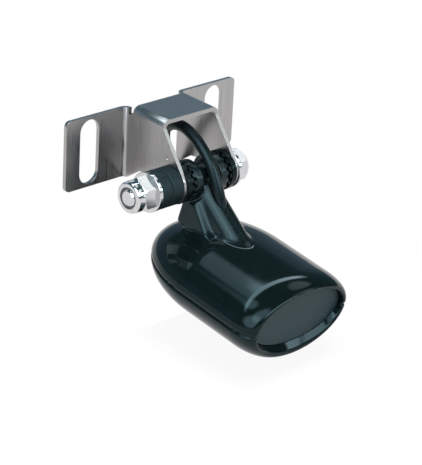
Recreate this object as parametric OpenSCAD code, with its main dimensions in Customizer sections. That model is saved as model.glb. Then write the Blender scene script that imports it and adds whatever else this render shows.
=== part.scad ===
// Transom-mount sonar transducer: a moulded sounder body on a toothed pivot,
// carried by a folded stainless bracket. Millimetres, +Z up, +Y towards the transom.
// The origin is on the mounting face, midway between the two slots.

/* [Bracket] */
// Width across both flanges
bracket_w = 84; // [74:1:100]
// Height of the flanges
flange_h = 26.6; // [24:0.2:36]
// Thickness of the sheet
sheet_t = 1.5; // [1:0.1:2]
// Width across the outer faces of the two ears
ear_span = 27.6; // [26.6:0.2:32]
// Inside radius of the folds
fold_r = 1.5; // [0.8:0.1:2.5]
// Reach of the top plate from the mounting face
plate_reach = 21; // [17:0.5:24]
// Distance of the top plate's rear edge from the mounting face
plate_back = 5.2; // [4.6:0.1:8]
// Fall of the top plate towards its front edge, in degrees
plate_fall = 4; // [0:1:7]
// Depth of the relief notch at each rear top corner
notch_drop = 2.2; // [1:0.1:4]
// Radius of the flange corners
corner_r = 2; // [0.5:0.5:4]
// Width of the adjusting slots
slot_w = 9; // [6:0.5:11]
// Distance of each slot's middle from the flange's outer edge
slot_inset = 11; // [8:0.5:14]
// Metal left above and below each slot
slot_land = 1.2; // [0.8:0.1:4]
// Radius of the rounded lower end of each ear
ear_r = 7; // [6.8:0.1:9]
// Diameter of the index dot stamped in each ear
dot_d = 1.6; // [1:0.1:2.5]

/* [Pivot] */
// Distance of the pivot from the mounting face
pivot_reach = 26; // [24:0.5:30]
// Distance of the pivot below the middle of the flanges
pivot_drop = 9.2; // [7:0.2:12]
// Angle that the transducer is set down by at its aft end, in degrees
trim = 10.5; // [4:0.5:14]
// Diameter of the pivot bolt
bolt_d = 6.35; // [5:0.05:7]
// Radial clearance between the bolt and what turns or slides on it
bolt_play = 0.08; // [0.03:0.01:0.1]
// Width across flats of the nut and of the bolt head
hex_af = 11.8; // [10:0.1:12.6]
// Height of the bolt head
head_h = 5; // [3:0.1:6]
// Height of the nut's hexagon
nut_h = 5.6; // [5:0.1:8]
// Height of the nut's rounded locking collar
collar_h = 3.2; // [2.4:0.1:4]
// Length of thread past the nut
thread_end = 0.3; // [0.2:0.1:4]
// Diameter of the flat washers
washer_d = 14.8; // [13:0.1:17]
// Thickness of the flat washers
washer_t = 1.5; // [1:0.1:2]
// Diameter of the rubber washers
rubber_d = 14.4; // [13:0.1:17]
// Thickness of each rubber washer
rubber_t = 5.3; // [3:0.1:6.4]

/* [Ratchet] */
// Diameter of the toothed faces
ratchet_d = 15; // [14:0.2:16.4]
// Thickness of a ratchet's disc, without its teeth
ratchet_t = 2.2; // [1.5:0.1:3]
// Number of teeth in each ring
tooth_n = 16; // [10:2:24]
// Height of the teeth
tooth_h = 1.1; // [0.6:0.1:1.6]
// Width of each tooth
tooth_w = 1.5; // [0.8:0.1:2]
// Axial gap between the two rings of teeth
tooth_gap = 0.3; // [0.2:0.05:0.6]
// Width of the square key that holds a ratchet in its ear
key_w = 8.4; // [8.2:0.1:8.8]
// Clearance of the key in the ear's square hole
key_play = 0.05; // [0.02:0.01:0.2]

/* [Transducer body] */
// Width of the body at its seam
body_w = 53.4; // [46:0.2:62]
// Distance of the nose in front of the pivot
body_front = 7.9; // [5:0.1:10]
// Distance of the flat aft end behind the pivot
body_back = 59.9; // [54:0.1:75]
// Length of the rounded nose
nose_len = 33; // [26:0.5:40]
// Radius of the rounded aft edge, across the body
aft_r = 4.5; // [3:0.1:6]
// Length of the rounded aft edge, along the body
aft_len = 10; // [6:0.5:12]
// Distance of the seam below the pivot
seam_drop = 26.9; // [25:0.1:32]
// Height of the upper housing above the seam
upper_h = 14; // [11:0.1:15]
// Depth of the lower cover below the seam
lower_h = 16; // [14:0.1:20]
// Wall of the upper housing
upper_wall = 2.4; // [1.6:0.1:3]
// Wall of the lower cover
lower_wall = 2.6; // [1.6:0.1:3.5]
// Thickness of the acoustic window under the element
window_t = 4.8; // [4.4:0.1:6]
// Height of the groove along the seam
seam_gap = 0.8; // [0.4:0.1:1.4]
// Depth of the groove along the seam
seam_depth = 0.7; // [0.3:0.1:1.2]

/* [Stem] */
// Diameter of the hub's waist, where the cable crosses it
waist_d = 11; // [10:0.1:12]
// Thickness of each toothed flange of the hub
hub_flange = 3.4; // [2.5:0.1:4]
// Radius of the rounded aft ridge
ridge_r = 5.5; // [4.5:0.1:6]
// Width of the stem where it meets the body
foot_w = 18; // [16:0.5:24]
// Length of the stem where it meets the body
foot_len = 17; // [14:0.5:22]
// Distance of the stem's front edge behind the pivot
stem_front = 1.5; // [0:0.1:3]

/* [End plate] */
// Width of the flat rim round the end plate
rim_land = 0.4; // [0.3:0.1:3]
// Height of the end plate below the seam
plate_down = 9.7; // [6:0.1:11]
// Thickness of the end plate
plate_t = 1.8; // [1.2:0.1:2.4]
// Depth of the end plate's face in its recess
plate_sink = 2.4; // [0.6:0.1:3]
// Clearance of the end plate in its recess
plate_play = 0.25; // [0.1:0.05:0.4]

/* [Sounding element] */
// Diameter of the ceramic disc
element_d = 25.4; // [20:0.2:28]
// Thickness of the ceramic disc
element_t = 8; // [6:0.1:9]
// Distance of the element behind the pivot
element_back = 27; // [24:0.5:32]
// Wall of the cork ring round the element
cork_wall = 2.6; // [1.5:0.1:4]
// Thickness of the cork pad on the element
pad_t = 2.4; // [1.5:0.1:3]
// Diameter of the two element leads
lead_d = 1.2; // [0.8:0.1:1.6]
// Distance of each lead from the element's middle
lead_offset = 5; // [3:0.1:8]

/* [Cable] */
// Diameter of the cable
cable_d = 4.2; // [3.8:0.1:4.6]
// Clearance round the cable in the stem
cable_play = 0.15; // [0.05:0.05:0.3]
// Middle diameter of the coil's turns
coil_d = 48; // [46:1:50]
// Side of the square section that the coil's turns fill
coil_section = 26.4; // [25:0.1:28]
// Width of the tie round the coil
tie_w = 8; // [5:0.5:12]
// Thickness of the tie
tie_t = 1; // [0.6:0.1:1.6]
// Diameter of the connector's grip
plug_d = 15; // [12:0.5:18]
// Length of the connector with its strain relief
plug_len = 44; // [36:1:55]
// Number of contacts in the connector
pin_n = 5; // [3:1:7]

/* [Hidden] */
$fn = 64;
eps = 0.01;
big = 400;

half_h = flange_h / 2;
ear_x = ear_span / 2;
ear_in = ear_x - sheet_t;
fold_out = fold_r + sheet_t;
fold_y = -sheet_t - fold_r;
slot_x = bracket_w / 2 - slot_inset;
slot_len = flange_h - 2 * slot_land;
bolt_r = bolt_d / 2;
bore_r = bolt_r + bolt_play;
hex_r = hex_af / 2 / cos(30);
insert_r = hex_af / 2 - 1.4;
lip_t = 0.5;
collar_edge = 1;
collar_r = hex_af / 2 - 0.1;
ratchet_r = ratchet_d / 2;
tooth_in = key_w / 2 + 0.4;
ratchet_tip = ear_in - ratchet_t - tooth_h;
hub_tip = ratchet_tip - tooth_gap;
hub_face = hub_tip - tooth_h;

rubber_in_x = -ear_x;
rubber_out_x = rubber_in_x - rubber_t;
washer_left_x = rubber_out_x - rubber_t;
nut_x = washer_left_x - washer_t;
collar_x = nut_x - nut_h;
insert_x = collar_x + 0.6;
lip_x = collar_x - collar_h + lip_t;
bolt_end_x = collar_x - collar_h - thread_end;
washer_right_x = ear_x + washer_t;
head_x = washer_right_x + head_h;

body_r = body_w / 2;
nose_start = body_front - nose_len;
window_z = -seam_drop - lower_h + window_t;
element_top = window_z + element_t;
pad_top = element_top + pad_t;
cork_r = element_d / 2 + cork_wall;
lead_len = -seam_drop + upper_h - upper_wall - 2 - element_top;
fit_gap = 0.1;
flat_share = 1 - aft_r / body_r;
plate_half_w = body_r * flat_share - rim_land - plate_play;
plate_up = upper_h * flat_share - rim_land - plate_play;
plate_floor = plate_sink + plate_t;
aft_wall = plate_floor + 0.8;

heel_y = -(pivot_reach - ear_r) / 2;
ridge_top = [-3.7, -3.65];
ridge_foot = [-30.5, -20.1];
cable_seat = [-19.5, -14.8];
cable_mouth = [-6.9, 4.8];

// Route of the cable from the stem to the coil
lead_route = [
    [0, -41.8, -25.7], [0, -38.2, -16.8], [0, -35.55, -9.9], [0, -31.4, -2.6], [0, -25.2, 3.4],
    [0, -18, 7], [0.3, -11.5, 6.4], [1.5, -6.6, 2.4], [4, -4.6, -4], [8, -4.6, -11],
    [13, -5, -18], [17.5, -5.6, -26], [20, -6.4, -36], [20, -7, -50], [20, -7, -64],
    [20, -7, -78], [21.5, -7, -87], [26, -7, -94.5], [32, -7, -98.2], [38, -7, -99]
];
cable_sides = 8;
coil_at = [38, -18.1, -134];
// Route of the cable from the coil to the connector
tail_route = [
    [72.9, -29, -130], [73, -29, -142], [73, -28, -154], [73, -26, -166], [73, -25, -176]
];
plug_at = [73, -25, -172];

module on_pivot() {
    translate([0, -pivot_reach, -pivot_drop]) rotate([trim, 0, 0]) children();
}

// Solid disc or ring along X, between two places
module x_disc(x0, x1, r) {
    translate([min(x0, x1), 0, 0]) rotate([0, 90, 0]) cylinder(h = abs(x1 - x0), r = r);
}

module x_hex(x0, x1) {
    translate([min(x0, x1), 0, 0]) rotate([0, 90, 0]) cylinder(h = abs(x1 - x0), r = hex_r, $fn = 6);
}

// Round bar between two points of the mid-plane
module mid_bar(a, b, r) {
    step = b - a;
    translate([0, a[0], a[1]]) rotate([atan2(-step[0], step[1]), 0, 0]) cylinder(h = norm(step), r = r);
}

module on_bolt() {
    translate([0, -pivot_reach, -pivot_drop]) children();
}

// Bracket
function tangent_point(p, c, r) =
    let (d = p - c, reach = norm(d), turn = acos(r / reach), heading = atan2(d[1], d[0]))
    c + r * [cos(heading + turn), sin(heading + turn)];

module ear_outline() {
    pivot = [-pivot_reach, -pivot_drop];
    front = [-plate_reach, big];
    lip = [-plate_reach, half_h - fold_out];
    touch = tangent_point(lip, pivot, ear_r);
    difference() {
        union() {
            polygon([
                [fold_y, -half_h], [fold_y, half_h - notch_drop], [-plate_back, half_h - notch_drop],
                [-plate_back, big], front, lip, touch, pivot,
                [-pivot_reach + ear_r, -pivot_drop + 1], [heel_y, -pivot_drop + 0.2]
            ]);
            translate(pivot) circle(r = ear_r);
        }
        translate([-pivot_reach, -pivot_drop]) square(key_w + 2 * key_play, center = true);
    }
}

module channel_outline() {
    difference() {
        union() {
            translate([-ear_x, -big]) square([ear_span, big - fold_out]);
            translate([-ear_x + fold_out, -fold_out - eps]) square([ear_span - 2 * fold_out, fold_out + eps]);
            for (side = [-1, 1]) translate([side * (ear_x - fold_out), -fold_out]) circle(r = fold_out);
        }
        translate([-ear_in, -big]) square([2 * ear_in, big - fold_out]);
        translate([-ear_in + fold_r, -big]) square([2 * (ear_in - fold_r), big - sheet_t]);
        for (side = [-1, 1]) translate([side * (ear_in - fold_r), -fold_out]) circle(r = fold_r);
    }
}

// Two ears and the top plate that joins them
module channel() {
    rise = (plate_reach - plate_back) * tan(plate_fall);
    intersection() {
        translate([0, -plate_back, half_h + rise])
            rotate([90 + plate_fall, 0, 0])
                translate([0, 0, -big / 2]) linear_extrude(big) channel_outline();
        translate([-big / 2, 0, 0]) rotate([90, 0, 90]) linear_extrude(big) ear_outline();
    }
}

module flange(side) {
    edge = bracket_w / 2;
    inner = ear_x + fold_r;
    translate([0, 0, -half_h]) linear_extrude(flange_h) intersection() {
        translate([side * inner, fold_y]) difference() {
            circle(r = fold_out);
            circle(r = fold_r);
        }
        translate([side > 0 ? ear_in : -inner, fold_y]) square([fold_out, fold_out]);
    }
    rotate([90, 0, 0]) linear_extrude(sheet_t) difference() {
        union() {
            translate([side > 0 ? inner : -edge + corner_r, -half_h])
                square([edge - corner_r - inner, flange_h]);
            translate([side > 0 ? inner : -edge, -half_h + corner_r])
                square([edge - inner, flange_h - 2 * corner_r]);
            for (end = [-1, 1])
                translate([side * (edge - corner_r), end * (half_h - corner_r)]) circle(r = corner_r);
        }
        for (end = [-1, 1])
            translate([side * slot_x, end * (slot_len - slot_w) / 2]) circle(d = slot_w);
        translate([side * slot_x, 0]) square([slot_w, slot_len - slot_w], center = true);
    }
}

module bracket() {
    dot_at = [-pivot_reach + 2.5, -pivot_drop + ear_r + 2.2];
    color("silver") difference() {
        union() {
            channel();
            for (side = [-1, 1]) flange(side);
        }
        for (side = [-1, 1])
            translate([side * ear_x, dot_at[0], dot_at[1]]) sphere(d = dot_d);
    }
}

// Ring of square teeth on the plane x = 0, standing towards +X
module teeth() {
    for (i = [0 : tooth_n - 1])
        rotate([i * 360 / tooth_n, 0, 0])
            translate([-eps, tooth_in, -tooth_w / 2]) cube([tooth_h + eps, ratchet_r - tooth_in - 0.3, tooth_w]);
}

module ratchet(side) {
    color([0.06, 0.06, 0.07]) on_bolt() mirror([side > 0 ? 0 : 1, 0, 0]) difference() {
        union() {
            x_disc(ear_in, ear_in - ratchet_t, ratchet_r);
            translate([ear_in - ratchet_t, 0, 0]) mirror([1, 0, 0]) teeth();
            translate([ear_in - eps, -key_w / 2, -key_w / 2]) cube([sheet_t + eps, key_w, key_w]);
        }
        x_disc(0, big, bore_r);
    }
}

module ratchet_left() { ratchet(-1); }
module ratchet_right() { ratchet(1); }

// Round-edged ring with its near face at x0, running to x1
module soft_ring(x0, x1, r, edge) {
    t = abs(x1 - x0);
    translate([min(x0, x1), 0, 0]) rotate([0, 90, 0]) rotate_extrude() difference() {
        union() {
            square([r - edge, t]);
            translate([0, edge]) square([r, t - 2 * edge]);
            for (z = [edge, t - edge]) translate([r - edge, z]) circle(r = edge);
        }
        translate([-big, -big / 2]) square([big + bore_r, big]);
    }
}

module rubber_washer_inner() {
    color([0.07, 0.07, 0.08]) on_bolt() soft_ring(rubber_in_x, rubber_out_x, rubber_d / 2, 0.8);
}

module rubber_washer_outer() {
    color([0.07, 0.07, 0.08]) on_bolt() soft_ring(rubber_out_x, washer_left_x, rubber_d / 2, 0.8);
}

module flat_washer_left() {
    color("gainsboro") on_bolt() soft_ring(washer_left_x, nut_x, washer_d / 2, 0.3);
}

module flat_washer_right() {
    color("gainsboro") on_bolt() soft_ring(ear_x, washer_right_x, washer_d / 2, 0.3);
}

module pivot_bolt() {
    color("gainsboro") on_bolt() {
        intersection() {
            x_hex(washer_right_x, head_x);
            translate([washer_right_x - head_h, 0, 0]) rotate([0, 90, 0])
                cylinder(h = 2 * head_h, r1 = hex_r + head_h, r2 = hex_af / 2 - 0.4);
        }
        x_disc(washer_right_x + eps, bolt_end_x + 0.6, bolt_r);
        translate([bolt_end_x, 0, 0]) rotate([0, 90, 0]) cylinder(h = 0.6, r1 = bolt_r - 0.6, r2 = bolt_r);
    }
}

// Hexagon with a rounded locking collar, and a seat in it for the nylon ring
module lock_nut() {
    color("gainsboro") on_bolt() difference() {
        union() {
            intersection() {
                x_hex(nut_x, collar_x);
                translate([collar_x, 0, 0]) rotate([0, 90, 0])
                    cylinder(h = nut_h, r1 = hex_af / 2, r2 = hex_af / 2 + nut_h);
            }
            translate([collar_x - collar_h, 0, 0]) rotate([0, 90, 0]) rotate_extrude() {
                translate([0, collar_edge]) square([collar_r, collar_h - collar_edge + eps]);
                square([collar_r - collar_edge, collar_h]);
                translate([collar_r - collar_edge, collar_edge]) circle(r = collar_edge);
            }
        }
        x_disc(big, -big, bore_r);
        x_disc(insert_x, -big, insert_r - lip_t);
        x_disc(insert_x, lip_x, insert_r + eps);
    }
}

module nut_insert() {
    color("whitesmoke") on_bolt() difference() {
        x_disc(insert_x, lip_x, insert_r);
        x_disc(big, -big, bore_r);
    }
}

// Transducer body
// Half outline of the body, inset from its surface; x is the radius and y runs forward
module bullet_outline(inset, aft_inset) {
    r = body_r - inset;
    aft = -body_back + aft_inset;
    edge = max(aft_r - inset, 0.5);
    edge_len = max(aft_len - aft_inset, 0.5);
    intersection() {
        translate([0, nose_start]) scale([r, nose_len - inset]) circle(r = 1);
        translate([0, nose_start]) square([big, big]);
    }
    translate([0, aft + edge_len]) square([r, nose_start - aft - edge_len]);
    translate([0, aft]) square([r - edge, edge_len + eps]);
    intersection() {
        translate([r - edge, aft + edge_len]) scale([edge, edge_len]) circle(r = 1);
        translate([0, aft]) square([big, edge_len + eps]);
    }
}

// One half of the body, above the seam or below it, inset from its surface and more at its aft end
module body_half(up, inset, aft_inset) {
    height = (up > 0 ? upper_h : lower_h) - inset;
    translate([0, 0, -seam_drop]) intersection() {
        scale([1, 1, height / (body_r - inset)]) rotate([-90, 0, 0]) rotate_extrude() bullet_outline(inset, aft_inset);
        translate([-big / 2, -big / 2, up > 0 ? 0 : -big]) cube(big);
    }
}

module plate_outline(grow) {
    w = plate_half_w + grow;
    for (up = [1, -1]) intersection() {
        scale([w, (up > 0 ? plate_up : plate_down) + grow]) circle(r = 1);
        translate([-big / 2, up > 0 ? 0 : -big]) square(big);
    }
}

// Block of the end plate's outline, from a depth in the aft end to a depth nearer its face
module plate_block(grow, depth, face) {
    translate([0, -body_back + depth, -seam_drop])
        rotate([90, 0, 0]) linear_extrude(depth - face) plate_outline(grow);
}

module hub() {
    x_disc(-hub_face, hub_face, waist_d / 2);
    for (side = [0, 1]) mirror([side, 0, 0]) {
        x_disc(hub_face - hub_flange, hub_face, ratchet_r);
        translate([hub_face, 0, 0]) teeth();
    }
}

module stem() {
    mid_bar(ridge_top, ridge_foot, ridge_r);
    neck_z = -waist_d / 2;
    foot_z = -seam_drop + upper_h - 2;
    hull() {
        translate([-hub_face, -stem_front - 6, neck_z - 1]) cube([2 * hub_face, 6, 1]);
        translate([-foot_w / 2, -stem_front - foot_len, foot_z - 1]) cube([foot_w, foot_len, 1]);
    }
}

module upper_housing() {
    color([0.05, 0.05, 0.06]) on_pivot() difference() {
        union() {
            body_half(1, 0, 0);
            stem();
            hub();
        }
        body_half(1, upper_wall, aft_wall);
        plate_block(plate_play, plate_floor, -1);
        x_disc(-big, big, bore_r);
        mid_bar(cable_seat, cable_mouth, cable_d / 2 + cable_play);
    }
}

module cavity_floor() {
    translate([-big / 2, -big / 2, window_z]) cube(big);
}

module lower_cover() {
    groove = -seam_drop - seam_gap;
    color([0.09, 0.09, 0.1]) on_pivot() difference() {
        union() {
            intersection() {
                body_half(-1, 0, 0);
                translate([-big / 2, -big / 2, groove - big]) cube(big);
            }
            body_half(-1, seam_depth, seam_depth);
        }
        intersection() {
            body_half(-1, lower_wall, aft_wall);
            cavity_floor();
        }
        stack_disc(window_z, -seam_drop, cork_r + fit_gap);
        plate_block(plate_play, plate_floor, -1);
    }
}

module end_plate() {
    color([0.2, 0.22, 0.21]) on_pivot() plate_block(0, plate_floor, plate_sink);
}

// Upright disc of the sounding stack
module stack_disc(z0, z1, r) {
    translate([0, -element_back, z0]) cylinder(h = z1 - z0, r = r);
}

module ceramic_element() {
    color("tan") on_pivot() stack_disc(window_z, element_top, element_d / 2);
}

module cork_ring() {
    color("peru") on_pivot() difference() {
        stack_disc(window_z, element_top, cork_r);
        stack_disc(window_z - eps, element_top + eps, element_d / 2);
    }
}

module cork_pad() {
    color("peru") on_pivot() difference() {
        stack_disc(element_top, pad_top, cork_r);
        lead_bars(lead_d / 2 + fit_gap);
    }
}

module lead_bars(r) {
    for (side = [-1, 1])
        translate([side * lead_offset, -element_back, element_top]) cylinder(h = lead_len, r = r);
}

module lead_wires() {
    color("firebrick") on_pivot() lead_bars(lead_d / 2);
}

module potting() {
    color([0.25, 0.25, 0.22]) on_pivot() difference() {
        union() {
            body_half(1, upper_wall + fit_gap, aft_wall + fit_gap);
            intersection() {
                body_half(-1, lower_wall + fit_gap, aft_wall + fit_gap);
                cavity_floor();
            }
        }
        stack_disc(window_z - eps, pad_top, cork_r + fit_gap);
        lead_bars(lead_d / 2);
    }
}

// Cable
function spline(p0, p1, p2, p3, t) =
    0.5 * (2 * p1 + (p2 - p0) * t + (2 * p0 - 5 * p1 + 4 * p2 - p3) * t * t
        + (3 * p1 - p0 - 3 * p2 + p3) * t * t * t);
function clamp(i, n) = max(0, min(n - 1, i));
// Points along a smooth curve through a route, with two steps to each stretch
function curve(route) = let (n = len(route)) [
    for (i = [0 : n - 2]) for (t = [0, 0.5])
        spline(route[clamp(i - 1, n)], route[i], route[i + 1], route[clamp(i + 2, n)], t),
    route[n - 1]
];
function unit(v) = v / norm(v);
function heading(path, i) = unit(path[clamp(i + 1, len(path))] - path[clamp(i - 1, len(path))]);
// Frame carried along the path with no twist
function carried(path, i) = i == 0
    ? unit(cross(heading(path, 0), [1, 0, 0]))
    : let (h = heading(path, i), last = carried(path, i - 1)) unit(last - h * (h * last));

module tube(route) {
    path = curve(route);
    n = len(path);
    rings = [for (i = [0 : n - 1])
        let (h = heading(path, i), u = carried(path, i), w = cross(h, u))
        for (k = [0 : cable_sides - 1])
            path[i] + cable_d / 2 * (cos(k * 360 / cable_sides) * u + sin(k * 360 / cable_sides) * w)];
    walls = [for (i = [0 : n - 2]) for (k = [0 : cable_sides - 1])
        let (a = i * cable_sides + k, b = i * cable_sides + (k + 1) % cable_sides)
        each [[a, a + cable_sides, b], [b, a + cable_sides, b + cable_sides]]];
    start = [[for (k = [0 : cable_sides - 1]) k]];
    finish = [[for (k = [cable_sides - 1 : -1 : 0]) (n - 1) * cable_sides + k]];
    polyhedron(points = rings, faces = concat(start, walls, finish));
}

module cable_lead() {
    color([0.04, 0.04, 0.05]) tube(lead_route);
}

module coil_square(grow) {
    side = coil_section + 2 * grow;
    edge = cable_d / 2 + grow;
    translate([coil_d / 2 - side / 2, -side / 2]) {
        translate([edge, 0]) square([side - 2 * edge, side]);
        translate([0, edge]) square([side, side - 2 * edge]);
        for (x = [edge, side - edge]) for (y = [edge, side - edge]) translate([x, y]) circle(r = edge);
    }
}

module cable_coil() {
    color([0.04, 0.04, 0.05]) translate(coil_at) rotate([90, 0, 0]) rotate_extrude() coil_square(0);
}

module cable_tie() {
    turn = 2 * asin(tie_w / 2 / (coil_d / 2));
    color([0.05, 0.05, 0.05]) translate(coil_at) rotate([90, 0, 0])
        rotate([0, 0, 60 - turn / 2]) rotate_extrude(angle = turn) difference() {
            coil_square(tie_t);
            coil_square(0.02);
        }
}

module cable_tail() {
    color([0.04, 0.04, 0.05]) tube(tail_route);
}

module connector() {
    relief = plug_len * 0.4;
    grip = plug_len - relief;
    color([0.07, 0.07, 0.08]) translate(plug_at) mirror([0, 0, 1]) difference() {
        union() {
            cylinder(h = relief, r1 = cable_d / 2 + 1.2, r2 = cable_d / 2 + 2.6);
            translate([0, 0, relief]) rotate_extrude() {
                square([plug_d / 2 - 1.2, grip]);
                translate([0, 1.2]) square([plug_d / 2, grip - 2.4]);
                for (z = [1.2, grip - 1.2]) translate([plug_d / 2 - 1.2, z]) circle(r = 1.2);
            }
        }
        translate([0, 0, plug_len - 9]) cylinder(h = 10, r = plug_d / 2 - 2);
        translate([0, 0, -1]) cylinder(h = 8, r = cable_d / 2 + cable_play);
    }
}

module connector_pins() {
    color("gold") translate(plug_at) mirror([0, 0, 1])
        for (i = [0 : pin_n - 1])
            rotate([0, 0, i * 360 / pin_n]) translate([plug_d / 2 - 4.2, 0, plug_len - 9]) cylinder(h = 7, r = 0.75);
}

bracket();
ratchet_left();
ratchet_right();
rubber_washer_inner();
rubber_washer_outer();
flat_washer_left();
flat_washer_right();
pivot_bolt();
lock_nut();
nut_insert();
upper_housing();
lower_cover();
end_plate();
ceramic_element();
cork_ring();
cork_pad();
potting();
lead_wires();
cable_lead();
cable_coil();
cable_tie();
cable_tail();
connector();
connector_pins();
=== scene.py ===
"""Looks for the transom-mount sonar transducer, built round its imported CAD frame.

Metres, with +Z up and +Y towards the transom.
"""

import math

import bpy
import numpy as np
from mathutils import Matrix, Vector


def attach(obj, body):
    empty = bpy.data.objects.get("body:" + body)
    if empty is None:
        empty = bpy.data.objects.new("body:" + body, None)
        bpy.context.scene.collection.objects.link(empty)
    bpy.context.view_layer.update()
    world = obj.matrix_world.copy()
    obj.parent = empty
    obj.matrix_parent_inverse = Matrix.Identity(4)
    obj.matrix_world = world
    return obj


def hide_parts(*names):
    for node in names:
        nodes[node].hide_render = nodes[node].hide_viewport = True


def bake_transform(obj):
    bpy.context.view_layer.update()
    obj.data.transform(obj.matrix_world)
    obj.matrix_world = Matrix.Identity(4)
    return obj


MM = 0.001

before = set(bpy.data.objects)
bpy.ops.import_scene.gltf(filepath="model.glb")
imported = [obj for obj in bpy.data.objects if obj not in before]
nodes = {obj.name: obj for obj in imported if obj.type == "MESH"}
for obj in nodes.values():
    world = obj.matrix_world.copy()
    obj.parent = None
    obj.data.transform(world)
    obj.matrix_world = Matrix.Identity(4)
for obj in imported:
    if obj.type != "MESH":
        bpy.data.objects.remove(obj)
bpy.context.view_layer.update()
scene = bpy.context.scene
scene.view_settings.view_transform = "Standard"

# Camera, at the photograph's viewing angle
IMAGE_LONG_SIDE = 465
CAMERA_AZIMUTH = -46.02
CAMERA_ELEVATION = 22.51
CAMERA_ROLL = 2.99
CAMERA_DISTANCE = 811.7 * MM
FOCAL_PIXELS = 2222
AIM_RIGHT = 19.57 * MM
AIM_UP = -35.09 * MM
SHIFT_PIXELS = (-7.93, -4.20)
SENSOR_WIDTH = 36
CLIP_RANGE = (0.01, 20)


def make_camera():
    azimuth = math.radians(CAMERA_AZIMUTH)
    elevation = math.radians(CAMERA_ELEVATION)
    roll = math.radians(CAMERA_ROLL)
    back = Vector((
        math.sin(azimuth) * math.cos(elevation),
        -math.cos(azimuth) * math.cos(elevation),
        math.sin(elevation),
    ))
    level = Vector((math.cos(azimuth), math.sin(azimuth), 0))
    upright = back.cross(level)
    right = level * math.cos(roll) + upright * math.sin(roll)
    up = upright * math.cos(roll) - level * math.sin(roll)
    data = bpy.data.cameras.new("camera")
    data.sensor_width = SENSOR_WIDTH
    data.lens = FOCAL_PIXELS * SENSOR_WIDTH / IMAGE_LONG_SIDE
    data.shift_x = -SHIFT_PIXELS[0] / IMAGE_LONG_SIDE
    data.shift_y = SHIFT_PIXELS[1] / IMAGE_LONG_SIDE
    data.clip_start, data.clip_end = CLIP_RANGE
    camera = bpy.data.objects.new("camera", data)
    scene.collection.objects.link(camera)
    turn = Matrix((right, up, back)).transposed().to_4x4()
    turn.translation = back * CAMERA_DISTANCE + right * AIM_RIGHT + up * AIM_UP
    camera.matrix_world = turn
    scene.camera = camera


# Cable route, as in the part's source, in millimetres
LEAD_ROUTE = [
    (0, -41.8, -25.7), (0, -38.2, -16.8), (0, -35.55, -9.9), (0, -31.4, -2.6), (0, -25.2, 3.4),
    (0, -18, 7), (0.3, -11.5, 6.4), (1.5, -6.6, 2.4), (4, -4.6, -4), (8, -4.6, -11),
    (13, -5, -18), (17.5, -5.6, -26), (20, -6.4, -36), (20, -7, -50), (20, -7, -64),
    (20, -7, -78), (21.5, -7, -87), (26, -7, -94.5), (32, -7, -98.2), (38, -7, -99),
]
TAIL_ROUTE = [(73, -29, -134), (73, -29, -142), (73, -28, -154), (73, -26, -166), (73, -25, -174)]
LEAD_STEPS = 6
TAIL_STEPS = 5
# Middle of the coil in x and z
COIL_CENTRE = (38, -134)
COIL_OUTER_TURN = 35.0
COIL_INNER_TURN = 12.9
COIL_FIRST_ROW = -7.0
COIL_LAST_ROW = -29.0
COIL_ROWS = 6
COIL_STEPS = 28
CABLE_DIAMETER = 4.2
CABLE_SIDES = 14


def smooth_route(points, steps):
    """Points along a smooth curve through a route."""
    route = [Vector(p) for p in points]
    last = len(route) - 1
    found = []
    for i in range(last):
        before, here, there, after = (route[max(0, min(last, i + k))] for k in (-1, 0, 1, 2))
        for step in range(steps):
            t = step / steps
            found.append(0.5 * (
                2 * here + (there - before) * t
                + (2 * before - 5 * here + 4 * there - after) * t * t
                + (3 * here - before - 3 * there + after) * t ** 3
            ))
    found.append(route[last])
    return found


def coil_turns():
    """Centreline of the coil: flat spirals, in and out in turn, row behind row."""
    layers = COIL_ROWS - 1
    row_step = (COIL_LAST_ROW - COIL_FIRST_ROW) / (COIL_ROWS - 1)
    found = []
    angle = math.pi / 2
    step = 2 * math.pi / COIL_STEPS
    for row in range(COIL_ROWS):
        inward = row % 2 == 0
        start, end = (COIL_OUTER_TURN, COIL_INNER_TURN) if inward else (COIL_INNER_TURN, COIL_OUTER_TURN)
        place = COIL_FIRST_ROW + row * row_step
        for i in range(layers * COIL_STEPS):
            radius = start + (end - start) * i / (layers * COIL_STEPS)
            found.append(coil_point(radius, angle, place))
            angle -= step
        if row < COIL_ROWS - 1:
            for i in range(COIL_STEPS):
                found.append(coil_point(end, angle, place + row_step * i / COIL_STEPS))
                angle -= step
    for i in range(COIL_STEPS // 4):
        found.append(coil_point(COIL_OUTER_TURN, angle, COIL_LAST_ROW))
        angle -= step
    return found


def coil_point(radius, angle, place):
    return Vector((
        COIL_CENTRE[0] + radius * math.cos(angle),
        place,
        COIL_CENTRE[1] + radius * math.sin(angle),
    ))


def tube_mesh(name, path, radius, sides):
    """Round tube along a path, closed at both ends, with a frame that doesn't twist."""
    points = []
    across = Vector((1, 0, 0))
    last = len(path) - 1
    for i, point in enumerate(path):
        heading = (path[min(i + 1, last)] - path[max(i - 1, 0)]).normalized()
        across = (across - heading * heading.dot(across)).normalized()
        other = heading.cross(across)
        for k in range(sides):
            turn = 2 * math.pi * k / sides
            points.append(point + radius * (math.cos(turn) * across + math.sin(turn) * other))
    faces = []
    for i in range(last):
        for k in range(sides):
            a = i * sides + k
            b = i * sides + (k + 1) % sides
            faces.append((a, b, b + sides, a + sides))
    faces.append(tuple(reversed(range(sides))))
    faces.append(tuple(range(last * sides, (last + 1) * sides)))
    mesh = bpy.data.meshes.new(name)
    mesh.from_pydata(points, [], faces)
    mesh.polygons.foreach_set("use_smooth", [True] * len(mesh.polygons))
    mesh.update()
    return mesh


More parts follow.
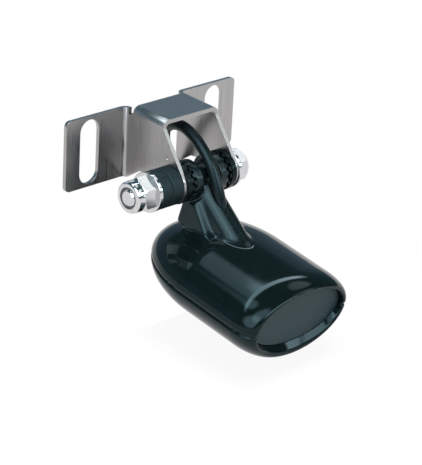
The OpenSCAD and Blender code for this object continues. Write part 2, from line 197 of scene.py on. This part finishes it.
def make_cable():
    path = smooth_route(LEAD_ROUTE, LEAD_STEPS)[:-1] + coil_turns() + smooth_route(TAIL_ROUTE, TAIL_STEPS)
    path = [p * MM for p in path]
    cable = bpy.data.objects.new("cable", tube_mesh("cable", path, CABLE_DIAMETER / 2 * MM, CABLE_SIDES))
    scene.collection.objects.link(cable)
    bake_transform(cable)
    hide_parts("cable_lead", "cable_coil", "cable_tail")
    return cable


# Sizes of the transducer's mouldings, as in the part's source, in millimetres
PIVOT = (0, -26, -9.2)
TRIM = math.radians(10.5)
BODY_RADIUS = 26.7
BODY_BACK = 59.9
NOSE_START = -25.1
NOSE_LENGTH = 33
AFT_RADIUS = 4.5
AFT_LENGTH = 10
SEAM = -26.9
UPPER_HEIGHT = 14
LOWER_HEIGHT = 16
UPPER_WALL = 2.4
LOWER_WALL = 2.6
SEAM_GAP = 0.8
SEAM_DEPTH = 0.7
PLATE_HALF_WIDTH = 21.8
PLATE_UP = 11.24
PLATE_DOWN = 9.95
PLATE_SINK = 2.4
PLATE_FLOOR = 4.2
LEDGE_SLOPE = 1.2
AFT_WALL = 5.0
WINDOW = -38.1
STACK_RADIUS = 15.4
STACK_BACK = -27
HUB_FACE = 7.6
HUB_FLANGE = 3.4
WAIST_RADIUS = 5.5
RATCHET_RADIUS = 7.5
BORE_RADIUS = 3.255
TEETH = 16
TOOTH_HEIGHT = 1.1
TOOTH_MIDDLE = 5.9
TOOTH_HALF = (1.3, 0.75)
RIDGE = ((-3.7, -3.65), (-30.5, -20.1), 5.5)
CABLE_BORE = ((-19.5, -14.8), (-6.9, 4.8), 2.25)
STEM_FRONT = -1.5
NECK = (-5.5, 6)
FOOT = (-14.9, 17, 9)
# Radii of the fillets and of the rounded edges
WEB_SIDE_EDGE = 1.2
WEB_END_EDGE = 1.8
FLANGE_EDGE = 0.5
TOOTH_EDGE = 0.4
WAIST_FILLET = 0.6
TOOTH_FILLET = 0.2
HUB_BORE_EDGE = 0.2
RIDGE_FILLET = 2.4
STEM_FILLET = 1.6
UPPER_SEAM_EDGE = 0.5
LOWER_SEAM_EDGE = 1.0
HUB_FILLET = 1.0
BORE_EDGE = 0.1
CABLE_BORE_EDGE = 0.4
UPPER_POCKET_EDGE = 0.6
LOWER_POCKET_EDGE = 0.8
INNER_EDGE = 0.3
# Height above the body from which the upper moulding has the stem's surface
STEM_START = 0.35
# Grid in which the mouldings' skins are found, and the rounds that even them out and settle them
UPPER_GRID = ((-28, -61, -28), (28, 9, 9))
LOWER_GRID = ((-28, -61, -44), (28, 9, -26))
SKIN_STEP = 0.5
EVEN_ROUNDS = 4
SETTLE_ROUNDS = 8
TINY = 1e-6


def join(a, b, fillet):
    """Smaller of two distances, with a fillet where they meet."""
    overlap = np.maximum(fillet - np.abs(a - b), 0) / fillet
    return np.minimum(a, b) - overlap ** 2 * fillet / 4


def cut(a, b, edge):
    """First distance less what lies inside the second, with a rounded edge."""
    return -join(-a, b, edge)


def meet(a, b, edge):
    """Larger of two distances, with a rounded edge."""
    return -join(-a, -b, edge)


def bullet(p, inset, aft_inset, height):
    """Field that is zero on the body's surface, inset from it and more at its aft end."""
    radius = BODY_RADIUS - inset
    across = np.hypot(p[..., 0], (p[..., 2] - SEAM) * radius / (height - inset))
    least_edge = 0.5
    edge = max(AFT_RADIUS - inset, least_edge)
    edge_length = max(AFT_LENGTH - aft_inset, least_edge)
    nose = np.maximum(p[..., 1] - NOSE_START, 0) / (NOSE_LENGTH - inset)
    tail = np.maximum(edge_length + aft_inset - BODY_BACK - p[..., 1], 0) / edge_length
    ahead = np.hypot(across / radius, nose) - 1
    behind = np.hypot(np.maximum(across - radius + edge, 0) / edge, tail) - 1
    return np.where(p[..., 1] > NOSE_START, ahead * radius, behind * edge)


def body_distance(p, inset, aft_inset, height):
    """Distance to the body's surface, from its field and the field's slope."""
    nudge = 0.02
    least_slope = 0.2
    field = bullet(p, inset, aft_inset, height)
    slope = np.zeros_like(field)
    for axis in range(3):
        moved = p.copy()
        moved[..., axis] += nudge
        slope += ((bullet(moved, inset, aft_inset, height) - field) / nudge) ** 2
    return field / np.maximum(np.sqrt(slope), least_slope)


def bar(p, a, b, radius):
    """Distance to a round bar between two points of the mid-plane."""
    along = np.array(b) - np.array(a)
    length = np.linalg.norm(along)
    along = along / length
    offset = p[..., 1:] - np.array(a)
    reach = offset @ along
    side = offset @ np.array((-along[1], along[0]))
    return np.maximum(np.hypot(p[..., 0], side) - radius, np.abs(reach - length / 2) - length / 2)


def web(p):
    """Distance to the stem's web, wide at its neck and long at its foot."""
    neck_z, neck_length = NECK
    foot_z, foot_length, foot_half = FOOT
    fall = neck_z - foot_z
    lean = (foot_half - HUB_FACE) / fall
    sides = (np.abs(p[..., 0]) - HUB_FACE - (neck_z - p[..., 2]) * lean) / math.hypot(1, lean)
    rake = (foot_length - neck_length) / fall
    aft = (STEM_FRONT - neck_length - (neck_z - p[..., 2]) * rake - p[..., 1]) / math.hypot(1, rake)
    ends = np.maximum(p[..., 2] - neck_z, foot_z - 1 - p[..., 2])
    return meet(meet(sides, p[..., 1] - STEM_FRONT, WEB_SIDE_EDGE), np.maximum(aft, ends), WEB_END_EDGE)


def hub(p):
    """Distance to the hub: its waist, two flanges and their rings of teeth."""
    x = np.abs(p[..., 0])
    radius = np.hypot(p[..., 1], p[..., 2])
    pitch = 2 * math.pi / TEETH
    turn = np.mod(np.arctan2(p[..., 2], p[..., 1]) + pitch / 2, pitch) - pitch / 2
    waist = np.maximum(radius - WAIST_RADIUS, x - HUB_FACE)
    faces = np.abs(x - HUB_FACE + HUB_FLANGE / 2) - HUB_FLANGE / 2
    flange = meet(radius - RATCHET_RADIUS, faces, FLANGE_EDGE)
    tooth = np.maximum(
        np.abs(radius * np.cos(turn) - TOOTH_MIDDLE) - TOOTH_HALF[0],
        np.abs(radius * np.sin(turn)) - TOOTH_HALF[1],
    )
    tooth = meet(tooth, np.abs(x - HUB_FACE) - TOOTH_HEIGHT, TOOTH_EDGE)
    whole = join(join(waist, flange, WAIST_FILLET), tooth, TOOTH_FILLET)
    return cut(whole, radius - BORE_RADIUS, HUB_BORE_EDGE)


def pocket(p, flare):
    """Distance to the end plate's recess, which flares below the seam into a ledge."""
    outside = np.maximum(PLATE_SINK - BODY_BACK - p[..., 1], 0)
    tall = np.where(p[..., 2] > SEAM, PLATE_UP, PLATE_DOWN + outside * flare)
    x = p[..., 0]
    z = p[..., 2] - SEAM
    across = np.hypot(x / PLATE_HALF_WIDTH, z / tall)
    least_across = 0.1
    least_slope = 0.02
    slope = np.hypot(x / PLATE_HALF_WIDTH ** 2, z / tall ** 2) / np.maximum(across, least_across)
    return np.maximum((across - 1) / np.maximum(slope, least_slope), p[..., 1] + BODY_BACK - PLATE_FLOOR)


def upper_field(p):
    stem = join(bar(p, *RIDGE), web(p), RIDGE_FILLET)
    solid = join(body_distance(p, 0, 0, UPPER_HEIGHT), stem, STEM_FILLET)
    solid = meet(solid, SEAM - p[..., 2], UPPER_SEAM_EDGE)
    solid = join(solid, hub(p), HUB_FILLET)
    solid = cut(solid, np.hypot(p[..., 1], p[..., 2]) - BORE_RADIUS, BORE_EDGE)
    solid = cut(solid, bar(p, *CABLE_BORE), CABLE_BORE_EDGE)
    solid = cut(solid, pocket(p, 0), UPPER_POCKET_EDGE)
    return cut(solid, body_distance(p, UPPER_WALL, AFT_WALL, UPPER_HEIGHT), INNER_EDGE)


def lower_field(p):
    rim = meet(body_distance(p, 0, 0, LOWER_HEIGHT), p[..., 2] - SEAM + SEAM_GAP, LOWER_SEAM_EDGE)
    core = np.maximum(body_distance(p, SEAM_DEPTH, SEAM_DEPTH, LOWER_HEIGHT), p[..., 2] - SEAM)
    solid = cut(np.minimum(rim, core), pocket(p, LEDGE_SLOPE), LOWER_POCKET_EDGE)
    hollow = np.maximum(body_distance(p, LOWER_WALL, AFT_WALL, LOWER_HEIGHT), WINDOW - p[..., 2])
    stack = np.hypot(p[..., 0], p[..., 1] - STACK_BACK) - STACK_RADIUS
    return cut(solid, np.minimum(hollow, np.maximum(stack, WINDOW - p[..., 2])), INNER_EDGE)


def field_slope(field, p):
    """How steeply a field rises along each axis."""
    nudge = 0.01
    slope = np.empty_like(p)
    for axis in range(3):
        shift = np.zeros(3)
        shift[axis] = nudge
        slope[:, axis] = (field(p + shift) - field(p - shift)) / (2 * nudge)
    return slope


def without_diagonals(inside):
    """Grid with the corners filled in where solid parts meet only along an edge."""
    touching = np.ones_like(inside)
    while touching.any():
        touching = np.zeros_like(inside)
        for plane in ((0, 1), (0, 2), (1, 2)):
            grid = np.moveaxis(inside, plane, (0, 1))
            marks = np.moveaxis(touching, plane, (0, 1))
            a, b, c, d = grid[:-1, :-1], grid[1:, :-1], grid[:-1, 1:], grid[1:, 1:]
            crossed = (a == d) & (b == c) & (a != b)
            for corner in (marks[:-1, :-1], marks[1:, :-1], marks[:-1, 1:], marks[1:, 1:]):
                corner |= crossed
        inside = inside | touching
    return inside


def skin(field, low, high):
    """Points, faces and normals of the surface where a field is zero."""
    axes = [np.arange(a, b, SKIN_STEP) for a, b in zip(low, high)]
    inside = without_diagonals(field(np.stack(np.meshgrid(*axes, indexing="ij"), -1)) < 0)
    cells = np.array(inside.shape) - 1
    corners = np.zeros(cells, int)
    for dx in (0, 1):
        for dy in (0, 1):
            for dz in (0, 1):
                corners += inside[dx:dx + cells[0], dy:dy + cells[1], dz:dz + cells[2]]
    mixed = (corners > 0) & (corners < 8)
    number = np.full(cells, -1)
    number[mixed] = np.arange(mixed.sum())
    points = (np.argwhere(mixed) + 0.5) * SKIN_STEP + np.array(low)
    faces = []
    for axis in range(3):
        size = inside.shape[axis] - 1
        first = inside.take(range(size), axis)
        crossing = np.argwhere(first != inside.take(range(1, size + 1), axis))
        u = np.eye(3, dtype=int)[(axis + 1) % 3]
        v = np.eye(3, dtype=int)[(axis + 2) % 3]
        around = [number[tuple((crossing - step).T)] for step in (u + v, v, 0 * u, u)]
        quads = np.stack(around, -1)
        outward = first[tuple(crossing.T)]
        faces.append(np.where(outward[:, None], quads, quads[:, ::-1]))
    faces = np.concatenate(faces)
    least_steep = 0.05
    for i in range(SETTLE_ROUNDS):
        if i < EVEN_ROUNDS:
            middles = points[faces].mean(1)
            total = np.zeros_like(points)
            shares = np.zeros(len(points))
            for k in range(4):
                np.add.at(total, faces[:, k], middles)
                np.add.at(shares, faces[:, k], 1)
            points = total / shares[:, None]
        slope = field_slope(field, points)
        steep = np.maximum((slope ** 2).sum(1), least_steep)
        move = -(field(points) / steep)[:, None] * slope
        reach = np.linalg.norm(move, axis=1, keepdims=True)
        points = points + move * np.minimum(1, 0.5 * SKIN_STEP / np.maximum(reach, TINY))
    normals = field_slope(field, points)
    normals /= np.maximum(np.linalg.norm(normals, axis=1, keepdims=True), TINY)
    return points, faces, normals


def on_pivot(p):
    """Points or directions turned from the pivot's own axes to the frame's."""
    turned = p.copy()
    turned[:, 1] = p[:, 1] * math.cos(TRIM) - p[:, 2] * math.sin(TRIM)
    turned[:, 2] = p[:, 1] * math.sin(TRIM) + p[:, 2] * math.cos(TRIM)
    return turned


def make_moulding(name, node, field, low, high):
    points, faces, normals = skin(field, low, high)
    mesh = bpy.data.meshes.new(name)
    mesh.from_pydata(((on_pivot(points) + np.array(PIVOT)) * MM).tolist(), [], faces.tolist())
    mesh.polygons.foreach_set("use_smooth", [True] * len(mesh.polygons))
    mesh.normals_split_custom_set_from_vertices(on_pivot(normals).tolist())
    piece = bpy.data.objects.new(name, mesh)
    scene.collection.objects.link(piece)
    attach(piece, "transducer")
    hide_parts(node)
    return piece, points[faces].mean(1)


def make_mouldings():
    upper, middles = make_moulding("upper_moulding", "upper_housing", upper_field, *UPPER_GRID)
    on_stem = body_distance(middles, 0, 0, UPPER_HEIGHT) > STEM_START
    lower, _ = make_moulding("lower_moulding", "lower_cover", lower_field, *LOWER_GRID)
    return upper, on_stem, lower


# Cold tint of the gloss on the black parts
TEAL = (0.6, 0.93, 1)
WHITE = (1, 1, 1)
# Values of the grain between which a surface goes from dark to light
GRAIN_RANGE = (0.3, 0.7)
GRAIN_DETAIL = 6
GRAIN_ROUGHNESS = 0.6
RELIEF_DEPTH = 0.1 * MM
# Rounding of the hard parts' edges, in millimetres
SHEET_EDGE = 0.25
HARDWARE_EDGE = 0.15
WELD_GAP = 0.002
EDGE_ANGLE = 35


def material(
    name, dark, light, rough, grain,
    bump=0.0, metal=0.0, stretch=(1, 1, 1), level=0.5, tint=WHITE,
):
    """Surface whose colour, roughness and relief follow one grain; grain is in marks per metre."""
    made = bpy.data.materials.new(name)
    made.use_nodes = True
    tree = made.node_tree
    shader = tree.nodes["Principled BSDF"]
    shader.inputs["Metallic"].default_value = metal
    shader.inputs["Specular IOR Level"].default_value = level
    shader.inputs["Specular Tint"].default_value = (*tint, 1)
    coordinates = tree.nodes.new("ShaderNodeTexCoord")
    mapping = tree.nodes.new("ShaderNodeMapping")
    mapping.inputs["Scale"].default_value = [grain * s for s in stretch]
    tree.links.new(coordinates.outputs["Object"], mapping.inputs["Vector"])
    noise = tree.nodes.new("ShaderNodeTexNoise")
    noise.inputs["Scale"].default_value = 1
    noise.inputs["Detail"].default_value = GRAIN_DETAIL
    noise.inputs["Roughness"].default_value = GRAIN_ROUGHNESS
    tree.links.new(mapping.outputs["Vector"], noise.inputs["Vector"])
    ramp = tree.nodes.new("ShaderNodeValToRGB")
    for element, position, colour in zip(ramp.color_ramp.elements, GRAIN_RANGE, (dark, light)):
        element.position = position
        element.color = (*colour, 1)
    tree.links.new(noise.outputs["Fac"], ramp.inputs["Fac"])
    tree.links.new(ramp.outputs["Color"], shader.inputs["Base Color"])
    spread = tree.nodes.new("ShaderNodeMapRange")
    for socket, value in zip(("From Min", "From Max", "To Min", "To Max"), (*GRAIN_RANGE, *rough)):
        spread.inputs[socket].default_value = value
    tree.links.new(noise.outputs["Fac"], spread.inputs["Value"])
    tree.links.new(spread.outputs["Result"], shader.inputs["Roughness"])
    if bump:
        relief = tree.nodes.new("ShaderNodeBump")
        relief.inputs["Strength"].default_value = bump
        relief.inputs["Distance"].default_value = RELIEF_DEPTH
        tree.links.new(noise.outputs["Fac"], relief.inputs["Height"])
        tree.links.new(relief.outputs["Normal"], shader.inputs["Normal"])
    return made


def dress(names, made):
    """Gives CAD parts their material."""
    for name in names:
        data = nodes[name].data
        data.materials.clear()
        data.materials.append(made)


def soften(names, width):
    """Rounds the sharp edges of hard CAD parts, which the tessellation leaves unwelded."""
    for name in names:
        weld = nodes[name].modifiers.new("weld", "WELD")
        weld.merge_threshold = WELD_GAP * MM
        bevel = nodes[name].modifiers.new("bevel", "BEVEL")
        bevel.width = width * MM
        bevel.segments = 2
        bevel.limit_method = "ANGLE"
        bevel.angle_limit = math.radians(EDGE_ANGLE)
        bevel.harden_normals = True


def make_materials(cable, upper, on_stem, lower):
    sheet = material(
        "brushed_stainless", (0.34, 0.33, 0.327), (0.45, 0.44, 0.436), (0.26, 0.36), 700,
        bump=0.06, metal=1.0, stretch=(3, 3, 0.1),
    )
    bright = material(
        "bright_steel", (0.56, 0.56, 0.57), (0.66, 0.66, 0.67), (0.08, 0.15), 500,
        bump=0.04, metal=1.0,
    )
    gloss = material(
        "gloss_black", (0.0022, 0.0052, 0.0056), (0.0032, 0.0072, 0.0076), (0.045, 0.065), 250,
        bump=0.02, level=0.22, tint=TEAL,
    )
    stem = material(
        "stem_black", (0.0018, 0.0042, 0.0046), (0.0042, 0.008, 0.0088), (0.22, 0.3), 1400,
        bump=0.2, level=0.33, tint=TEAL,
    )
    satin = material(
        "satin_grey", (0.009, 0.0225, 0.0265), (0.0135, 0.0295, 0.0335), (0.42, 0.55), 1500,
        bump=0.15, level=0.32, tint=TEAL,
    )
    nylon = material(
        "black_nylon", (0.0024, 0.0048, 0.0052), (0.0048, 0.008, 0.0088), (0.2, 0.28), 1200,
        bump=0.12, level=0.12, tint=TEAL,
    )
    # Painted shade: the white nylon insert is coloured dark grey to stand for the shade in the nut's mouth.
    shaded_insert = material("shaded_nylon_insert", (0.05, 0.055, 0.055), (0.09, 0.1, 0.1), (0.35, 0.5), 900, bump=0.1)
    rubber = material(
        "black_rubber", (0.004, 0.0085, 0.0095), (0.0085, 0.0155, 0.0175), (0.48, 0.62), 1800,
        bump=0.3, level=0.3, tint=TEAL,
    )
    jacket = material(
        "cable_jacket", (0.003, 0.0055, 0.0065), (0.0055, 0.0095, 0.011), (0.2, 0.28), 900,
        bump=0.06, level=0.21, tint=TEAL,
    )
    resin = material("potting_resin", (0.03, 0.03, 0.026), (0.05, 0.05, 0.045), (0.3, 0.4), 500, bump=0.1)
    cork = material("cork", (0.3, 0.18, 0.09), (0.55, 0.38, 0.2), (0.7, 0.85), 900, bump=0.6)
    ceramic = material("ceramic", (0.5, 0.42, 0.3), (0.6, 0.5, 0.36), (0.45, 0.6), 1500, bump=0.15)
    copper = material("copper", (0.6, 0.36, 0.16), (0.78, 0.5, 0.25), (0.18, 0.3), 900, bump=0.1, metal=1.0)
    dress(["bracket"], sheet)
    dress(["flat_washer_left", "flat_washer_right", "pivot_bolt", "lock_nut"], bright)
    upper.data.materials.append(gloss)
    upper.data.materials.append(stem)
    upper.data.polygons.foreach_set("material_index", on_stem.astype(np.int32))
    lower.data.materials.append(gloss)
    dress(["upper_housing", "lower_cover"], gloss)
    dress(["end_plate"], satin)
    dress(["ratchet_left", "ratchet_right", "cable_tie"], nylon)
    dress(["nut_insert"], shaded_insert)
    dress(["rubber_washer_inner", "rubber_washer_outer", "connector"], rubber)
    dress(["potting"], resin)
    dress(["cork_ring", "cork_pad"], cork)
    dress(["ceramic_element"], ceramic)
    dress(["lead_wires", "connector_pins"], copper)
    cable.data.materials.append(jacket)


# Stage
FLOOR_TOP = -70 * MM
FLOOR_BACK_EDGE = -14 * MM
FLOOR_SIZE = 2.4
FLOOR_THICKNESS = 2 * MM
FLOOR_COLOUR = (0.85, 0.85, 0.85)
FLOOR_ROUGHNESS = 0.9
# Share of the floor's own white, the rest of which is lit and holds the shadow
FLOOR_GLOW = 0.92
STUDIO_COLOUR = (0.92, 0.96, 1)
STUDIO_STRENGTH = 0.35


def math_node(tree, operation, first, second):
    """Result of one step of arithmetic on sockets or numbers."""
    node = tree.nodes.new("ShaderNodeMath")
    node.operation = operation
    for socket, value in zip(node.inputs, (first, second)):
        if isinstance(value, (int, float)):
            socket.default_value = value
        else:
            tree.links.new(value, socket)
    return node.outputs["Value"]


def seen_rays(tree):
    """Socket that is 1 for rays from the camera, from gloss and through clear parts."""
    path = tree.nodes.new("ShaderNodeLightPath")
    direct = math_node(tree, "MAXIMUM", path.outputs["Is Camera Ray"], path.outputs["Is Glossy Ray"])
    return math_node(tree, "MAXIMUM", direct, path.outputs["Is Transmission Ray"])


def make_floor():
    bpy.ops.mesh.primitive_cube_add(size=1)
    floor = bpy.context.object
    floor.name = "floor"
    floor.scale = (FLOOR_SIZE, FLOOR_SIZE, FLOOR_THICKNESS)
    floor.location = (0, FLOOR_BACK_EDGE - FLOOR_SIZE / 2, FLOOR_TOP - FLOOR_THICKNESS / 2)
    made = bpy.data.materials.new("floor_white")
    made.use_nodes = True
    tree = made.node_tree
    shader = tree.nodes["Principled BSDF"]
    shader.inputs["Base Color"].default_value = (*FLOOR_COLOUR, 1)
    shader.inputs["Roughness"].default_value = FLOOR_ROUGHNESS
    glow = tree.nodes.new("ShaderNodeEmission")
    mix = tree.nodes.new("ShaderNodeMixShader")
    tree.links.new(math_node(tree, "MULTIPLY", seen_rays(tree), FLOOR_GLOW), mix.inputs["Fac"])
    tree.links.new(shader.outputs["BSDF"], mix.inputs[1])
    tree.links.new(glow.outputs["Emission"], mix.inputs[2])
    tree.links.new(mix.outputs["Shader"], tree.nodes["Material Output"].inputs["Surface"])
    floor.data.materials.append(made)


def make_world():
    world = bpy.data.worlds.new("studio")
    scene.world = world
    world.use_nodes = True
    tree = world.node_tree
    tree.nodes.clear()
    studio = tree.nodes.new("ShaderNodeBackground")
    studio.inputs["Color"].default_value = (*STUDIO_COLOUR, 1)
    studio.inputs["Strength"].default_value = STUDIO_STRENGTH
    white = tree.nodes.new("ShaderNodeBackground")
    white.inputs["Color"].default_value = (*WHITE, 1)
    mix = tree.nodes.new("ShaderNodeMixShader")
    tree.links.new(seen_rays(tree), mix.inputs["Fac"])
    tree.links.new(studio.outputs["Background"], mix.inputs[1])
    tree.links.new(white.outputs["Background"], mix.inputs[2])
    out = tree.nodes.new("ShaderNodeOutputWorld")
    tree.links.new(mix.outputs["Shader"], out.inputs["Surface"])


# Dark studio surround that only gloss sees, with soft boxes in it
DOME_RADIUS = 1.6
# Height of the dome's rim, as a share of its radius
DOME_RIM = 0.05
DOME_RINGS = 24
DOME_SIDES = 64
DOME_SHADE = (0.06, 0.13, 0.145)
# Pale wall behind: where it starts and is full, in y and in z, its colour and strength
BACK_WALL = ((0.25, 0.5), (0.53, 0.42), (0.57, 0.68, 1), 0.26)
# Round soft boxes: direction, cosines of the core and of the outer edge, colour and strength
ROUND_BOXES = [
    ((-0.8, -0.35, 0.49), 0.96, 0.88, (0.86, 0.92, 1), 3.7),
    ((-0.45, -0.5, 0.74), 0.97, 0.9, (0.86, 0.92, 1), 3.4),
    ((-0.27, 0.18, 0.946), 0.996, 0.975, (0.8, 0.92, 1), 2.8),
    ((0.65, 0.02, 0.76), 0.993, 0.978, (1, 1, 1), 1.3),
]
# Soft boxes in front: middle and half size on a wall one unit ahead, colour and strength
FRONT_BOXES = [
    ((0.24, 0.58), (0.48, 0.26), (0.9, 0.96, 1), 6.0),
    ((0.94, 0.35), (0.17, 0.12), (0.8, 0.92, 1), 6.5),
    ((1.3, 1.1), (0.42, 0.42), (1, 1, 1), 1.6),
]
# Shares of a box's half size at which its soft edge starts and is full
BOX_EDGE = (1.3, 0.7)
# Slanting overhead strips: middle and half size on a ceiling one unit up, slant, colour and strength
STRIPS = [
    ((0.35, 0.3), (0.95, 0.045), 0.13, (0.8, 0.92, 1), 6.8),
    ((0.1, 0.375), (0.24, 0.05), 0.13, (0.8, 0.92, 1), 1.9),
]


def fade_node(tree, value, dark, bright):
    """Smooth step from 0 at one value to 1 at another."""
    node = tree.nodes.new("ShaderNodeMapRange")
    node.interpolation_type = "SMOOTHSTEP"
    node.inputs["From Min"].default_value = dark
    node.inputs["From Max"].default_value = bright
    tree.links.new(value, node.inputs["Value"])
    return node.outputs["Result"]


def box_fade(tree, places, middle, half):
    """Brightness of a soft-edged rectangle, from a place on its plane."""
    fades = []
    for place, centre, reach in zip(places, middle, half):
        away = math_node(tree, "ABSOLUTE", math_node(tree, "SUBTRACT", place, centre), 0.0)
        fades.append(fade_node(tree, away, *(reach * share for share in BOX_EDGE)))
    return math_node(tree, "MULTIPLY", *fades)


def dome_material():
    """Dark shade with the soft boxes added to it, by direction from the dome's middle."""
    made = bpy.data.materials.new("dome_shades")
    made.use_nodes = True
    tree = made.node_tree
    tree.nodes.clear()
    coordinates = tree.nodes.new("ShaderNodeTexCoord")
    ahead = tree.nodes.new("ShaderNodeVectorMath")
    ahead.operation = "NORMALIZE"
    tree.links.new(coordinates.outputs["Object"], ahead.inputs[0])
    parts = tree.nodes.new("ShaderNodeSeparateXYZ")
    tree.links.new(ahead.outputs["Vector"], parts.inputs["Vector"])
    shade = tree.nodes.new("ShaderNodeEmission")
    shade.inputs["Color"].default_value = (*DOME_SHADE, 1)
    glow = shade.outputs["Emission"]
    back, height, colour, strength = BACK_WALL
    behind = fade_node(tree, parts.outputs["Y"], *back)
    low = fade_node(tree, parts.outputs["Z"], *height)
    boxes = [(math_node(tree, "MULTIPLY", behind, low), colour, strength)]
    for direction, core, edge, colour, strength in ROUND_BOXES:
        facing = tree.nodes.new("ShaderNodeVectorMath")
        facing.operation = "DOT_PRODUCT"
        facing.inputs[1].default_value = direction
        tree.links.new(ahead.outputs["Vector"], facing.inputs[0])
        boxes.append((fade_node(tree, facing.outputs["Value"], edge, core), colour, strength))
    least_ahead = 0.01
    in_front = math_node(tree, "MULTIPLY", parts.outputs["Y"], -1.0)
    in_front = math_node(tree, "MAXIMUM", in_front, least_ahead)
    across = math_node(tree, "DIVIDE", parts.outputs["X"], in_front)
    up = math_node(tree, "DIVIDE", parts.outputs["Z"], in_front)
    for middle, half, colour, strength in FRONT_BOXES:
        boxes.append((box_fade(tree, (across, up), middle, half), colour, strength))
    across = math_node(tree, "DIVIDE", parts.outputs["X"], parts.outputs["Z"])
    along = math_node(tree, "DIVIDE", parts.outputs["Y"], parts.outputs["Z"])
    for middle, half, slant, colour, strength in STRIPS:
        level = math_node(tree, "SUBTRACT", along, math_node(tree, "MULTIPLY", across, slant))
        boxes.append((box_fade(tree, (across, level), middle, half), colour, strength))
    for fade, colour, strength in boxes:
        box = tree.nodes.new("ShaderNodeEmission")
        box.inputs["Color"].default_value = (*colour, 1)
        tree.links.new(math_node(tree, "MULTIPLY", fade, strength), box.inputs["Strength"])
        both = tree.nodes.new("ShaderNodeAddShader")
        tree.links.new(glow, both.inputs[0])
        tree.links.new(box.outputs["Emission"], both.inputs[1])
        glow = both.outputs["Shader"]
    out = tree.nodes.new("ShaderNodeOutputMaterial")
    tree.links.new(glow, out.inputs["Surface"])
    return made


def make_dome():
    mesh = bpy.data.meshes.new("dome")
    rim = math.asin(DOME_RIM)
    points = []
    for i in range(DOME_RINGS + 1):
        rise = rim + (math.pi / 2 - rim) * i / DOME_RINGS
        flat = DOME_RADIUS * math.cos(rise)
        for k in range(DOME_SIDES):
            turn = 2 * math.pi * k / DOME_SIDES
            points.append((flat * math.cos(turn), flat * math.sin(turn), DOME_RADIUS * math.sin(rise)))
    faces = []
    for i in range(DOME_RINGS):
        for k in range(DOME_SIDES):
            a = i * DOME_SIDES + k
            b = i * DOME_SIDES + (k + 1) % DOME_SIDES
            faces.append((b, a, a + DOME_SIDES, b + DOME_SIDES))
    mesh.from_pydata(points, [], faces)
    mesh.materials.append(dome_material())
    dome = bpy.data.objects.new("dome", mesh)
    scene.collection.objects.link(dome)
    dome.visible_camera = False
    dome.visible_diffuse = False
    dome.visible_shadow = False
    dome.visible_transmission = False


# Lamps: name, place, width, height and watts, all aimed at one point
LAMP_AIM = (0, -0.03, -0.03)
LAMPS = [
    ("key_lamp", (-0.25, -0.35, 0.75), 0.5, 0.5, 9),
    ("left_lamp", (-0.9, 0.1, 0.25), 0.4, 0.6, 4),
]


def make_lamp(name, place, width, height, power):
    data = bpy.data.lights.new(name, "AREA")
    data.shape = "RECTANGLE"
    data.size = width
    data.size_y = height
    data.energy = power
    lamp = bpy.data.objects.new(name, data)
    lamp.location = place
    lamp.visible_glossy = False
    lamp.rotation_euler = (Vector(LAMP_AIM) - Vector(place)).to_track_quat("-Z", "Y").to_euler()
    scene.collection.objects.link(lamp)


make_camera()
cable = make_cable()
upper, on_stem, lower = make_mouldings()
make_materials(cable, upper, on_stem, lower)
soften(["bracket"], SHEET_EDGE)
soften(["lock_nut", "pivot_bolt"], HARDWARE_EDGE)
make_floor()
make_world()
make_dome()
for lamp in LAMPS:
    make_lamp(*lamp)
